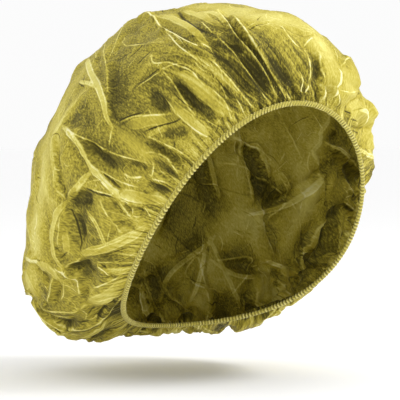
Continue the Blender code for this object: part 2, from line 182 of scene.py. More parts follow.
# Each fold line: its width and height in mm, its tone in hundredths, and then the places that it runs
# through: for each its turn in tenths of a degree and its rise in thousandths. A pale tone is the doubled
# cloth, with a painted highlight along a thin ridge; a dark tone is painted shade in a hollow, beside a
# ridge and where the cloth is thin.
Fold = collections.namedtuple("Fold", "width height tone line")
FOLD_ROWS = (
    (26, -1, -40, -240, 292, -210, 190, -165, 127, -125, 67, -95, 2),
    (18, -1, -22, -195, 180, -160, 120, -115, 67),
    (16, -1, -30, -300, 100, -220, 57, -70, 15, 10, 17),
    (34, -1, -20, -495, 359, -540, 257, -570, 195), (15, -1, -25, -565, 284, -595, 224, -610, 195),
    (24, -1, -15, -405, 489, -370, 299, -350, 202), (16, -1, -28, -465, 214, -475, 172, -470, 142),
    (15, -1, -25, -420, 162, -405, 127, -385, 92), (24, -1, -22, -630, 160, -590, 110, -555, 40),
    (18, -1, -35, 10, 152, 50, 120, 85, 82), (26, -1, -24, -875, 182, -890, 137, -915, 95),
    (16, -1, -25, -1040, 137, -1035, 110, -1000, 87),
    (22, -1, -28, -1255, 162, -1270, 130, -1285, 87),
    (22, -1, -20, -720, 222, -705, 172, -700, 132),
    (22, 1, 28, -790, 364, -895, 329, -1010, 302, -1125, 262),
    (24, 1, 25, -40, 277, 85, 279, 240, 287), (9, 0, 22, -645, 367, -715, 362, -780, 369),
    (8, 0, -28, -765, 347, -710, 324, -670, 317), (12, 0, 22, -650, 182, -635, 140, -615, 105),
    (9, 0, -25, -715, 209, -700, 170, -695, 135), (8, 0, -30, -820, 152, -870, 147, -935, 142),
    (9, 0, 20, -835, 95, -830, 62, -800, 35), (6, 0, -38, -1295, 182, -1295, 137, -1335, 102),
    (6, 0, -30, -1180, 227, -1195, 204, -1205, 177), (10, 0, -25, -95, 209, -90, 130, -75, 52),
    (10, 0, -28, -1070, 7, -1205, 0, -1360, 20), (26, 1, 35, 265, 107, 410, 105, 555, 112),
    (4.5, 6, 70, -640, 586, -605, 419, -605, 317, -620, 259, -640, 219, -645, 192),
    (1.6, 2, 50, -645, 192, -670, 177, -690, 167), (3, -5, -80, -595, 272, -615, 227, -625, 195),
    (2.5, 3, 60, -665, 444, -625, 374, -605, 312), (1.2, -2, -70, -665, 436, -645, 387),
    (3, 3, 25, -645, 364, -695, 359, -745, 374, -775, 364, -815, 374, -835, 324, -865, 262, -885, 219),
    (17, 4, 26, -670, 481, -740, 456, -800, 426, -870, 424, -895, 367, -930, 289),
    (2, 2, 25, -1000, 489, -960, 404, -980, 344),
    (3.4, 7, 70, -765, 349, -745, 277, -745, 214, -755, 182, -755, 152, -755, 125, -760, 97),
    (1.6, 4, 50, -755, 327, -730, 249, -710, 197, -695, 160, -670, 132, -645, 110, -620, 87),
    (8, 4, 10, -635, 180, -625, 150, -615, 125, -605, 102),
    (5.5, -7, -85, -725, 214, -720, 172, -715, 145, -710, 130),
    (4, -4, -30, -770, 297, -770, 237, -770, 190),
    (2, 3, 50, -620, 187, -580, 175, -540, 155, -500, 137, -465, 125),
    (1.2, -3, -90, -620, 192, -590, 182, -545, 165),
    (7, 2, 30, -605, 170, -575, 155, -535, 142, -505, 125),
    (1.1, -3, -90, -575, 137, -525, 125, -495, 117, -460, 110),
    (3, 2, 25, -580, 127, -545, 122, -505, 112), (8, -6, -75, -485, 197, -490, 165, -475, 140),
    (1.6, 4, 40, -430, 227, -425, 192, -425, 147, -420, 112, -410, 82, -400, 45),
    (6, 5, 40, -460, 155, -455, 127, -440, 105, -430, 75, -420, 30),
    (1.2, 3, 50, -470, 172, -465, 135, -455, 100, -440, 67, -425, 25),
    (6, -7, -75, -420, 190, -410, 157, -400, 127, -385, 95, -375, 80),
    (1.6, 4, 60, -425, 294, -430, 247, -405, 232, -380, 204, -360, 177, -350, 147, -340, 120),
    (9, 6, 35, -395, 190, -375, 152, -365, 125, -355, 100),
    (1.2, 1, 30, -440, 279, -455, 239, -465, 232), (1.2, -2, -90, -475, 297, -440, 302, -415, 307),
    (1.3, -3, -100, -510, 234, -475, 232, -435, 232), (1.3, 2, 50, -515, 227, -470, 222, -435, 222),
    (1.4, 2, 45, -465, 474, -455, 414, -415, 357, -385, 327, -360, 302),
    (1.1, -2, -60, -450, 424, -420, 399, -405, 352),
    (1.8, 4, 40, -520, 591, -535, 484, -540, 399, -560, 332, -595, 272),
    (6, -4, -50, -530, 359, -555, 304, -580, 267, -605, 219),
    (1.5, 3, 45, -530, 409, -490, 464, -460, 526, -405, 576, -365, 579),
    (3, -3, -30, -570, 514, -575, 429, -585, 332), (1.2, 2, 40, -590, 591, -585, 504, -595, 469),
    (1.5, 2, 50, -635, 589, -600, 586, -575, 591),
    (1.8, 6, 100, -325, 576, -320, 494, -325, 399, -325, 314, -315, 259, -300, 232, -295, 202, -295, 180),
    (3, -5, -85, -320, 459, -315, 357, -315, 284, -300, 244),
    (1.4, 3, 70, -335, 354, -345, 262, -330, 204, -310, 157),
    (5, 5, 50, -315, 511, -275, 454, -270, 372, -275, 292, -275, 237, -270, 217),
    (2.2, -4, -80, -225, 496, -240, 399, -255, 312, -245, 259),
    (1.3, 2, 50, -300, 569, -250, 561, -205, 531, -155, 529, -95, 531),
    (1.2, -2, -60, -295, 574, -250, 566, -220, 526), (5, 3, 45, -210, 464, -200, 401, -205, 322),
    (9, -3, -35, -520, 307, -560, 257, -570, 217), (6, -4, -60, -540, 117, -500, 97, -460, 85),
    (1, 1, 30, -485, 105, -495, 87, -505, 67),
    (1.5, 4, 50, -610, 110, -585, 95, -570, 72, -575, 40, -590, 10),
    (4, -6, -75, -600, 125, -570, 100, -555, 65, -555, 15),
    (1.5, 4, 45, -575, 127, -550, 100, -530, 72, -520, 22),
    (1.6, 3, 70, -610, 87, -625, 75, -650, 67), (4, -4, -80, -670, 122, -650, 105, -640, 87),
    (1, 1, 40, -685, 122, -705, 122),
    (2.2, 4, 70, -705, 120, -695, 102, -665, 82, -645, 55, -630, 10),
    (1.5, -3, -90, -715, 120, -710, 100, -700, 80), (4, -4, -80, -680, 70, -670, 40, -655, 5),
    (5, -3, -50, -605, 82, -600, 50, -605, 20), (3.2, 5, 45, -870, 199, -825, 185, -770, 172),
    (9, -4, -45, -740, 327, -705, 287, -685, 244), (6, -3, -30, -685, 322, -680, 272, -690, 229),
    (1.2, 1, 30, -700, 344, -700, 287, -705, 247), (4, -3, -40, -810, 334, -830, 292, -850, 252),
    (8, -5, -75, -195, 160, -175, 127, -160, 97, -140, 57), (5, -4, -70, -210, 209, -190, 167),
    (6, -4, -75, -270, 229, -260, 172, -235, 122, -210, 75),
    (8, -5, -80, -105, 142, -80, 112, -55, 82, -55, 52),
    (1.7, 4, 60, -295, 229, -285, 165, -260, 115, -240, 70, -220, 15),
    (3, 3, 20, -310, 204, -295, 145, -270, 90, -245, 30),
    (3, -3, -50, -325, 185, -305, 137, -285, 82),
    (1.6, 4, 50, -235, 252, -220, 185, -205, 142, -185, 100, -170, 62, -145, 0),
    (1.8, 6, 60, -120, 406, -170, 279, -180, 209, -165, 160, -145, 125, -125, 80, -110, 15),
    (3.5, 3, 45, -160, 419, -160, 357, -180, 279),
    (1.8, 6, 70, -135, 317, -145, 234, -140, 177, -125, 135, -110, 100, -85, 45, -60, 0),
    (2.6, -6, -95, -130, 374, -165, 267, -165, 209, -145, 160, -130, 125, -110, 70),
    (1.4, 3, 60, -10, 239, 0, 185, 20, 162, 40, 160),
    (1.7, 6, 100, 40, 160, 45, 137, 45, 107, 35, 75, 10, 27, 5, 0),
    (1.2, 3, 70, 40, 75, 60, 52, 75, 22), (1.5, 3, 80, 45, 162, 80, 185, 110, 202),
    (1.5, 5, 60, 115, 160, 110, 125, 120, 85, 135, 20),
    (2.6, 6, 100, 210, 137, 200, 105, 190, 75, 190, 57), (1.2, 3, 70, 195, 85, 220, 57, 225, 32),
    (1.3, 4, 80, 5, 105, 10, 77, 0, 50, 25, 10), (1.2, 3, 50, -45, 75, -60, 42, -45, 0),
    (4, -5, -80, 75, 160, 95, 140, 95, 110, 80, 80), (3, -4, -70, 70, 75, 90, 42, 115, 17),
    (3, -6, -100, 135, 80, 155, 65, 160, 40), (3, -4, -70, -35, 60, -20, 15),
    (26, 3, 38, -80, 382, -50, 312, 20, 282, 95, 252, 140, 199),
    (20, 3, 30, -120, 474, -80, 441, -35, 392), (18, 4, 35, 150, 185, 160, 152, 160, 120, 150, 95),
    (1.2, -2, -30, 0, 239, 30, 214, 80, 207, 135, 222), (1.5, 2, 30, 35, 247, 70, 224, 125, 227),
    (1.1, 1.5, 30, -130, 242, -95, 252, -50, 262, -10, 269),
    (1.1, -1.5, -50, -130, 232, -95, 242, -50, 247), (1.1, 1.5, 30, -100, 239, -75, 239, -30, 254),
    (12, 7, 14, 285, 175, 330, 155, 335, 130), (1.5, 4, 50, 230, 147, 315, 202, 385, 229),
    (1.3, 2, 30, 205, 87, 275, 100, 375, 137), (1.3, -3, -80, 295, 50, 340, 67),
    (1.3, -3, -80, 345, 47, 410, 80), (1.3, -3, -70, 390, 30, 455, 70),
    (3, 5, 70, 385, 97, 455, 112, 470, 100), (2.6, 4, 60, 465, 0, 515, 35, 585, 80),
    (1.2, -3, -50, 430, 0, 510, 60), (8, 7, 12, 485, 170, 505, 155, 525, 140),
    (2, -5, -30, 470, 180, 345, 105, 290, 67), (2, -5, -30, 540, 127, 470, 95, 370, 32),
    (7, 6, 12, 545, 120, 560, 107, 575, 92),
    (1.3, 2, 50, -225, 344, -235, 282, -230, 247, -195, 252),
    (5, 3, 35, -170, 426, -205, 319, -200, 264), (1.3, 2, 40, -290, 242, -275, 219, -275, 182),
    (9, 5, 30, -360, 137, -345, 112, -335, 82, -330, 52),
    (1.4, 3, 40, -350, 152, -330, 122, -310, 87, -315, 42, -325, 15),
    (5, -4, -55, -390, 107, -375, 87, -370, 47), (1.2, 2, 35, -405, 92, -390, 65, -370, 15),
    (1.1, -2, -60, -420, 32, -415, 7), (1.1, 2, 40, -270, 90, -265, 50, -265, 12),
    (3.2, 6, 70, -760, 199, -760, 177, -755, 135, -750, 105, -735, 72, -725, 40),
    (6, 4, 35, -745, 105, -725, 77, -710, 40, -690, 2),
    (2, -4, -70, -745, 150, -740, 120, -740, 105),
    (1.3, 3, 50, -750, 162, -735, 132, -720, 107, -700, 77),
    (1.3, -3, -80, -715, 117, -710, 102, -700, 82),
    (1.6, 4, 60, -810, 177, -790, 142, -770, 117, -750, 75, -740, 47),
    (2, -4, -80, -810, 167, -795, 140, -765, 107), (1.3, 2, 40, -800, 172, -780, 160, -760, 145),
    (8, -7, -80, -875, 185, -840, 167, -820, 147), (4.5, -7, -85, -890, 170, -910, 150, -935, 132),
    (1.6, -5, -100, -890, 185, -915, 162, -945, 142, -975, 127),
    (3.2, 5, 45, -770, 175, -795, 180, -825, 182, -875, 197),
    (5.5, 6, 50, -880, 197, -925, 204, -965, 202, -1010, 192, -1045, 172, -1065, 147),
    (2.5, -4, -50, -945, 219, -1000, 217, -1035, 197, -1065, 172),
    (1.3, 4, 40, -895, 192, -935, 187, -975, 177, -1015, 170),
    (6, 4, 25, -950, 170, -980, 155, -1010, 150),
    (1.1, -1.5, -50, -1040, 162, -1020, 157, -995, 147),
    (1.8, 4, 50, -1060, 145, -1030, 137, -1000, 122, -985, 120),
    (2.8, 3, 45, -855, 147, -860, 120, -875, 102, -905, 80),
    (1.8, 4, 50, -800, 132, -815, 110, -825, 90, -840, 72, -845, 60),
    (3, -4, -50, -785, 115, -790, 90, -800, 77), (1.2, 2, 35, -830, 95, -860, 87, -890, 82),
    (1.4, 3, 40, -760, 102, -775, 80, -790, 50), (2.4, -4, -70, -760, 87, -770, 75, -775, 60),
    (1.2, 2, 40, -750, 67, -780, 57, -775, 35), (3.5, -4, -70, -675, 72, -665, 50, -655, 20),
    (1.2, 2, 40, -735, 50, -750, 27, -765, 12),
    (1, 1.5, 40, -675, 72, -660, 80, -660, 60, -635, 17), (3, -3, -50, -750, 57, -755, 40),
    (6, 6, 45, -975, 122, -945, 105, -905, 75, -865, 47, -835, 25, -805, 15),
    (1.2, 3, 30, -950, 117, -925, 95, -890, 72, -855, 42),
    (5, -8, -90, -1060, 137, -1020, 120, -995, 102),
    (5, -5, -60, -1070, 112, -1030, 102, -1005, 90),
    (1.8, 5, 60, -1085, 172, -1075, 140, -1080, 115, -1110, 102, -1145, 95),
    (2.6, 5, 60, -1185, 289, -1130, 224, -1105, 187, -1085, 152),
    (7, 3, 35, -1135, 222, -1105, 172, -1125, 147),
    (6, -4, -55, -1170, 242, -1155, 199, -1175, 177),
    (1.5, 3, 50, -1120, 167, -1175, 162, -1240, 162),
    (1.2, 2, 40, -1115, 142, -1150, 132, -1200, 135),
    (2.6, -3, -50, -1120, 155, -1160, 147, -1210, 150), (1.4, 3, 50, -975, 87, -990, 65, -1020, 42),
    (1, -2, -70, -970, 77, -985, 60), (1.2, 2, 50, -970, 87, -960, 60, -955, 40),
    (1.5, 4, 60, -1080, 77, -1045, 50, -1020, 22, -995, 5),
    (9, 6, 30, -1150, 77, -1130, 45, -1100, 20, -1045, 2),
    (1.2, -2, -40, -940, 77, -915, 52, -900, 27), (1.2, -1.5, -35, -885, 57, -860, 42, -850, 20),
    (3, -4, -50, -1095, 130, -1070, 105, -1035, 87),
    (2, 4, 40, -1275, 192, -1255, 150, -1230, 122, -1210, 100, -1170, 82),
    (3.5, -6, -90, -1295, 167, -1295, 137, -1320, 117, -1290, 100),
    (1.2, 2, 40, -1280, 152, -1265, 127, -1250, 102), (2, -4, -90, -1365, 140, -1390, 132),
    (2.5, 5, 50, -1300, 217, -1325, 170, -1380, 140, -1425, 132, -1420, 107),
    (2, 4, 50, -1425, 137, -1315, 95, -1305, 65, -1270, 37, -1225, 15, -1145, 0),
    (3, 3, 40, -1405, 95, -1380, 67, -1355, 37), (1.4, -4, -100, -1280, 55, -1250, 45, -1225, 32),
    (14, -3, -55, -1185, 0, -1295, 10, -1370, 32), (6, -2, -50, -1470, 90, -1475, 70, -1450, 45),
    (1.6, -3, -70, -1460, 92, -1450, 72, -1485, 52), (1.3, 2, 40, -1185, 97, -1215, 77, -1265, 77),
    (1.8, -3, -50, -1225, 72, -1205, 62), (4, -3, -35, -1000, 257, -1010, 224, -1020, 199),
    (16, 4, 24, -900, 372, -910, 317, -970, 304, -1030, 282, -1090, 262),
    (2, 2, 30, -970, 431, -990, 364, -1100, 357, -1110, 294, -1145, 269),
    (4, -3, -50, -840, 272, -865, 247, -875, 207), (2, 3, 30, -850, 287, -880, 252, -880, 204),
    (5, -3, -40, -1100, 102, -1115, 90, -1150, 95), (4, -3, -40, -850, 85, -815, 65, -815, 45),
    (7, 4, 20, -1240, 282, -1240, 227, -1250, 190),
)
SEEN_FOLDS = []
for width, height, tone, *places in FOLD_ROWS:
    line = [(turn / 10, rise / 1000) for turn, rise in zip(places[::2], places[1::2])]
    SEEN_FOLDS.append(Fold(width, height, tone / 100, line))

# The rest of the bag gathers alike. Its folds repeat some of the seen ones at another place,
# and chance adds folds over the nape and crown, loose folds on the back and small creases.
# The chance folds' tone goes with their height: paler where they stand up, as a painted highlight,
# and darker where they sink, as painted shade. Each loose fold also has a paler soft patch beyond its
# ridge.
WAIST_RADIUS = 0.115
CLOTH_RISE = 0.29
NAPE_FOLD_TURNS = np.arange(135, 230, 9)
CROWN_FOLDS = 96
LOOSE_FOLD_ROWS = ((0.15, 206), (0.34, 214), (0.52, 236))
LOOSE_FOLD_START, LOOSE_FOLD_STEP = 104, 15
SMALL_CREASES = 620


def moved(fold, turn_by, mirror=False):
    """The same fold at another place round the bag."""
    side = -1 if mirror else 1
    line = [(side * turn + turn_by, rise) for turn, rise in fold.line]
    return Fold(fold.width, fold.height, fold.tone, line)


def middle_turn(fold):
    return sum(turn for turn, rise in fold.line) / len(fold.line)


far_folds = [moved(fold, 6, mirror=True) for fold in SEEN_FOLDS if middle_turn(fold) < -58]
back_folds = [moved(fold, -112) for fold in SEEN_FOLDS if -90 < middle_turn(fold) < -38]
chance = np.random.default_rng(21)
crown_folds = []
for turn in NAPE_FOLD_TURNS:
    start, swept = turn + chance.uniform(-4, 4), chance.uniform(-14, 14)
    line = [(start, 0.06), (start + swept * 0.5, 0.2), (start + swept, chance.uniform(0.3, 0.5))]
    height = chance.choice((-6.0, 4.0, 5.0))
    crown_folds.append(Fold(chance.uniform(1.6, 3.6), height, 0.08 * height, line))
for count in range(CROWN_FOLDS):
    away, round_at = chance.uniform(0.08, 0.56), chance.uniform(-math.pi, math.pi)
    lean, half = round_at + chance.normal(0, 0.9), chance.uniform(0.04, 0.16)
    bend = chance.normal(0, 0.25)
    steps = np.linspace(-1, 1, 5)
    bow = bend * steps**2
    x = away * math.cos(round_at) + half * (steps * math.cos(lean) - bow * math.sin(lean))
    y = away * math.sin(round_at) + half * (steps * math.sin(lean) + bow * math.cos(lean))
    from_top = np.hypot(x, y)
    turn = np.degrees(np.unwrap(np.arctan2(y, x)))
    if from_top.min() < 0.06 or (from_top.max() > 0.5 and -75 < turn.mean() < 35):
        continue
    line = list(zip(turn.tolist(), (1 - from_top).tolist()))
    height = chance.choice((-3.0, 2.4, 3.6, 5.0))
    crown_folds.append(Fold(chance.uniform(1.4, 2.3), height, 0.09 * height, line))


def off_outline(fold):
    """Whether the fold keeps away from the outline over the right ear, as it has to."""
    return not -125 <= middle_turn(fold) <= -75 or fold.line[-1][1] > 0.6


crown_folds = [fold for fold in crown_folds if off_outline(fold)]
chance = np.random.default_rng(33)
loose_folds = []
for row_rise, end in LOOSE_FOLD_ROWS:
    for turn in np.arange(LOOSE_FOLD_START, end, LOOSE_FOLD_STEP):
        turn, rise = turn + chance.uniform(-6, 6), row_rise + chance.uniform(-0.05, 0.05)
        swept, half, wide = chance.normal(0, 9), chance.uniform(0.05, 0.09), chance.uniform(15, 21)
        bow, side = chance.normal(0, 3), chance.choice((-1, 1))
        beside = side * math.degrees(0.55 * wide / 1000 / WAIST_RADIUS)
        line = [(turn - swept, rise - half), (turn + bow, rise), (turn + swept, rise + half)]
        edge = [(turn_at + beside, rise_at) for turn_at, rise_at in line]
        crossing = (turn + 1.5 * beside - swept, rise + 0.2 * half)
        loose_folds += [
            Fold(wide, -4.0, -chance.uniform(0.28, 0.46), line),
            Fold(7.0, -6.0, -0.10, line),
            Fold(chance.uniform(1.6, 3.4), chance.uniform(4, 5.5), 0.42, edge),
            moved(Fold(wide, 4.0, chance.uniform(0.22, 0.36), edge), beside),
        ]
        if chance.random() < 0.5:
            line = [edge[2], crossing, (turn + 2.4 * beside, rise - half)]
            loose_folds.append(Fold(1.8, 3.6, 0.34, line))
small_creases = []
for count in range(SMALL_CREASES):
    turn, rise = chance.uniform(-180, 180), chance.uniform(0.02, 0.88)
    lean = chance.normal(0, math.radians(34 if rise < 0.25 else 60))
    half = chance.uniform(0.003, 0.011)
    radius = WAIST_RADIUS * (0.35 + 0.65 * math.cos(max(rise - 0.4, 0) * 2.4))
    turn_by = math.degrees(half * math.sin(lean) / radius)
    rise_by = half * math.cos(lean) / CLOTH_RISE
    middle = (turn + chance.normal(0, 1.0), rise)
    line = [(turn - turn_by, rise - rise_by), middle, (turn + turn_by, rise + rise_by)]
    sign = 1 if chance.random() < 0.66 else -1
    height = sign * chance.uniform(0.4, 1.2)
    tone = sign * chance.uniform(0.25, 0.75)
    small_creases.append(Fold(chance.uniform(0.8, 1.4), height, tone, line))
FOLDS = SEEN_FOLDS + far_folds + back_folds + crown_folds + loose_folds + small_creases

CURVE_POINTS = 26
DEGREES_A_RISE = 140


def curve_through(line):
    """Evenly spaced points on a smooth curve through the given turns and rises."""
    line = np.array(line)
    steps = np.hypot((line[1:, 0] - line[:-1, 0]) / DEGREES_A_RISE, line[1:, 1] - line[:-1, 1])
    along = np.concatenate([[0], np.cumsum(np.maximum(steps, 1e-4))])
    slopes = np.gradient(line, along, axis=0)
    at = np.linspace(0, along[-1], CURVE_POINTS)
    k = np.clip(np.searchsorted(along, at, side="right") - 1, 0, len(along) - 2)
    span = (along[k + 1] - along[k])[:, None]
    curve = hermite((at - along[k])[:, None] / span, span, line, slopes, k)
    return np.radians(curve[:, 0]), np.clip(curve[:, 1], 0, 0.995)


# How the fold lines act on the bag. Sizes are in metres and turns in degrees, but the limits
# for a small crease are in mm.
CELL = 0.0014
THIN_LINE = 0.0024
BAND = 0.004
SOFT_PATCH = 0.0145
SHADOW_SPREAD = 1.35
LAYER_STEP = 0.0012
HOLLOW_SHARE = 0.36
RIDGE_SHARE = 0.7
FLAT_FROM, FLAT_TO = -82, 12
PUFFED_OVER = 12
SMALL_HEIGHT, SMALL_WIDTH = 1.21, 1.41
TAPER_SHARE = 0.22
PATCH_REACH, LINE_REACH = 1.1, 3.2
RIDGE_CORE, HOLLOW_CORE = 0.0005, 0.3
PUFF, PUFFED_RIDGE, PUFFED_HOLLOW = 0.003, 0.3, 0.7
FULL_GRIP, SMALL_GRIP, SLIT_GRIP = 0.8, 0.2, 0.15
FAR_OFF, FAR_OFF_MM = 9.0, 6.0
hold = np.zeros(POINTS)
held_height = np.zeros(POINTS)
paler = np.ones(POINTS)
darker = np.ones(POINTS)
doubled = np.zeros(POINTS)


class Line:
    """Thin marks of one kind: how far each point is from the nearest, in half widths."""

    def __init__(self):
        self.off = np.full(POINTS, FAR_OFF)
        self.next_off = np.full(POINTS, FAR_OFF)
        self.share = np.zeros(POINTS)
        self.strength = np.zeros(POINTS)

    def add(self, near, off, side, half_width, strength):
        first = off < self.off[near]
        self.next_off[near] = np.where(first, self.off[near], np.minimum(self.next_off[near], off))
        hit = near[first]
        self.off[hit] = off[first]
        self.share[hit] = (side * off / half_width)[first]
        self.strength[hit] = strength[first]

    def shown(self):
        """Strength that fades out before the sign of the distance could turn over."""
        fade = unit(2.6 - self.off / CELL)
        return self.strength * fade * unit((self.next_off - self.off) / CELL - 0.5)


class Area:
    """Wide marks of one kind: how far each point is outside the nearest one's outline, in mm."""

    def __init__(self):
        self.off = np.full(POINTS, FAR_OFF_MM)
        self.strength = np.zeros(POINTS)

    def add(self, near, outside, strength):
        first = outside < self.off[near]
        hit = near[first]
        self.off[hit] = outside[first]
        self.strength[hit] = strength[first]


ridges, slit_shadows, wrinkles = Line(), Line(), Line()
bands, shadows = Area(), Area()
for fold in FOLDS:
    small = abs(fold.height) < SMALL_HEIGHT and fold.width < SMALL_WIDTH and len(fold.line) == 3
    crest = smooth_bag(*curve_through(fold.line))
    width, height = fold.width / 1000, fold.height / 1000
    soft = width > SOFT_PATCH or fold.height == 0
    reach = PATCH_REACH * width if soft else max(0.7 * width, CELL) + LINE_REACH * CELL
    low, high = crest.min(axis=0) - reach, crest.max(axis=0) + reach
    near = np.flatnonzero(((smooth > low) & (smooth < high)).all(axis=1))

    # The place of each near point beside the line: its distance, side and share along it.
    steps = crest[1:] - crest[:-1]
    gaps = smooth[near][:, None, :] - crest[:-1][None]
    s = unit((gaps * steps).sum(-1) / np.maximum((steps**2).sum(-1), 1e-12))
    apart = gaps - s[..., None] * steps
    off = np.linalg.norm(apart, axis=-1)
    best = off.argmin(axis=1)
    rows = np.arange(len(near))
    side = np.sign((np.cross(steps[best], apart[rows, best]) * outward[near]).sum(-1))
    off, along = off[rows, best], (best + s[rows, best]) / len(steps)
    taper = unit(np.minimum(along, 1 - along) / TAPER_SHARE) ** 0.6

    # A dark soft patch only paints shade on the cloth and a pale one only the doubled cloth. A thin line
    # or a band holds it up or down as well.
    if soft:
        mark = np.exp(-((off / (width / 2)) ** 2))
        if fold.tone > 0:
            paler[near] *= 1 - fold.tone * mark
        else:
            darker[near] *= 1 + fold.tone * mark
        continue
    middle = fold.line[len(fold.line) // 2][0]
    puffed = unit(max(middle - FLAT_TO, FLAT_FROM - middle) / PUFFED_OVER)
    if height < 0:
        core = HOLLOW_CORE * width
        height = (HOLLOW_SHARE + (PUFFED_HOLLOW - HOLLOW_SHARE) * puffed) * height
    elif width > BAND:
        core, tallest = width / 2 - 0.6 * CELL, LAYER_STEP + PUFF * puffed
        height = min(0.6 * height, tallest)
    else:
        core, height = RIDGE_CORE, (RIDGE_SHARE + PUFFED_RIDGE * puffed) * height
    grip = unit(1 - (off - core) / (1.4 * CELL))
    grip = grip * (SMALL_GRIP if small else FULL_GRIP)
    if width < THIN_LINE and height < 0:
        grip = grip * SLIT_GRIP
    hold[near] += grip
    held_height[near] += grip * height * (0.25 + 0.75 * taper)
    # A thin line with a pale tone is a painted highlight along a ridge, one with a dark tone a slit of
    # painted shadow beside a ridge; small creases are painted paler or darker as they stand up or sink
    # in.
    if width < THIN_LINE:
        marks = wrinkles if small else ridges if fold.tone > 0 else slit_shadows
        strength = fold.tone if small else abs(fold.tone)
        marks.add(near, off, side, width / 2, strength * taper)
        continue
    half = width / 2 * (0.35 + 0.65 * taper) * (1.0 if fold.tone > 0 else SHADOW_SPREAD)
    outside = (off - half) * 1000
    areas = bands if fold.tone > 0 else shadows
    areas.add(near, outside, abs(fold.tone) * (0.3 + 0.7 * taper))
    if width > BAND and fold.tone > 0:
        mark = unit(0.5 - outside / (CELL * 1000))
        doubled[near] = np.maximum(doubled[near], mark)

# Between its fold lines the thin cloth is pulled taut, so its height there is worked out as
# that of a stretched skin held up by the ridges and down by the hollows.
PULL_FLAT = 0.03
GRIP = 30.0
SWEEPS = 180
OVERSHOOT = 1.7
shape = (ROWS, COLUMNS)
grid = smooth.reshape(ROWS, COLUMNS, 3)
round_step = np.linalg.norm(np.roll(grid, -1, axis=1) - grid, axis=2)
up_step = np.linalg.norm(np.roll(grid, -1, axis=0) - grid, axis=2)
up_step[-1] = up_step[-2]
ahead = up_step / round_step
behind = np.roll(ahead, 1, axis=1)
above = round_step / up_step
below = np.roll(above, 1, axis=0)
slack = round_step * up_step / PULL_FLAT**2
hold, held_height = hold.reshape(shape), held_height.reshape(shape)
total = ahead + behind + above + below + slack + GRIP * hold
height = np.divide(held_height, hold, out=np.zeros(shape), where=hold > 0)
checks = np.indices(shape).sum(axis=0) % 2
for sweep in range(SWEEPS):
    for colour in (0, 1):
        pulled = ahead * np.roll(height, -1, axis=1) + behind * np.roll(height, 1, axis=1)
        pulled[:-1] += above[:-1] * height[1:]
        pulled[-1] += above[-1] * height[-1]
        pulled[1:] += below[1:] * height[:-1]
        settled = (pulled + GRIP * held_height) / total
        now = checks == colour
        height[now] += OVERSHOOT * (settled[now] - height[now])
        height[0] = 0
height = height.ravel()

# Broad swellings and sags of the loose cloth: turn in degrees, rise, and span and height in mm.
SWELLINGS = (
    (60, 0.080, 11, 4.5),
    (52, 0.140, 10, 6.0),
    (28, 0.275, 14, -2.6),
    (10, 0.345, 13, 3.0),
    (-13, 0.550, 12, -1.8),
    (-36, 0.583, 18, 3.4),
    (-88, 0.560, 16, -3.8),
    (-102, 0.478, 15, 3.0),
    (-117, 0.380, 12, 1.6),
    (-147, 0.100, 11, 4.0),
)
for turn, rise, span, swelling in SWELLINGS:
    away = np.linalg.norm(smooth - smooth_bag(np.radians([turn]), np.array([rise])), axis=1)
    height += swelling / 1000 * np.exp(-((away / (span / 1000)) ** 2)) * eased(rises / 0.05)

# Small crumples: shallow hollows with a sharp edge between each and the next.
STRETCH = 0.6
COARSE_SPACING, COARSE_DEPTH = 0.020, 0.0013
FINE_SPACING, FINE_DEPTH = 0.0085, 0.0004
FULL_COUNT, FULL_SPACING = 14000, 0.006
NEIGHBOURS = 4


def crumple(spacing, seed):
    """Depth and tint of the nearest hollow and nearness to its edge, for that spacing."""
    chance = np.random.default_rng(seed)
    lying = smooth - np.outer(smooth @ INWARD, INWARD) * (1 - STRETCH)
    order = chance.permutation(len(lying))[: int(FULL_COUNT * (FULL_SPACING / spacing) ** 2)]
    tree = kdtree.KDTree(len(order))
    for n, k in enumerate(order):
        tree.insert(Vector(lying[k]), n)
    tree.balance()
    lifts = chance.normal(0, 0.25, len(order))
    tilts = chance.normal(0, 0.35, (len(order), 3))
    spots = lying[order]
    depth, edge, tint = np.zeros(len(lying)), np.zeros(len(lying)), np.zeros(len(lying))
    tints = chance.uniform(-1, 1, len(order))
    for n, point in enumerate(lying):
        found = [k for co, k, distance in tree.find_n(Vector(point), NEIGHBOURS)]
        away = (point - spots[found]) / spacing
        level = (away**2).sum(1) + lifts[found] + (away * tilts[found]).sum(1)
        ranked = np.sort(level)
        depth[n], edge[n] = ranked[0], ranked[1] - ranked[0]
        tint[n] = tints[found[int(level.argmin())]]
    return depth, edge, tint


coarse_depth, coarse_edge, coarse_tint = crumple(COARSE_SPACING, 3)
fine_depth, _, _ = crumple(FINE_SPACING, 8)
loose = (1 - 0.8 * doubled) * unit(rises / 0.03)
height += loose * (COARSE_DEPTH * (coarse_depth - 0.3) + FINE_DEPTH * (fine_depth - 0.3))

# Fine pleats stand above the hem and run out upward, longest at the forehead.
PLEATS = 150
PLEAT_HEIGHT = 0.0016
FOREHEAD_PLACE, FOREHEAD_SPAN = 6, 26
FAR_SIDE_PLACE, FAR_SIDE_SPAN = 75, 50
chance = np.random.default_rng(5)
pleat_turns = (np.arange(PLEATS) + chance.uniform(-0.3, 0.3, PLEATS)) * math.tau / PLEATS - math.pi
at_forehead = np.exp(-((np.degrees(pleat_turns) - FOREHEAD_PLACE) / FOREHEAD_SPAN) ** 2)
at_far_side = np.exp(-((np.degrees(pleat_turns) - FAR_SIDE_PLACE) / FAR_SIDE_SPAN) ** 2)
fullness = 0.35 + 0.65 * np.maximum(at_forehead, 0.8 * at_far_side)
pleat_tops = chance.uniform(0.02, 0.055, PLEATS) * (0.6 + 1.3 * fullness)
pleat_heights = chance.uniform(0.5, 1.3, PLEATS) * PLEAT_HEIGHT * fullness
pleat_spans = chance.uniform(0.75, 1.25, PLEATS) * math.tau / PLEATS * 0.55
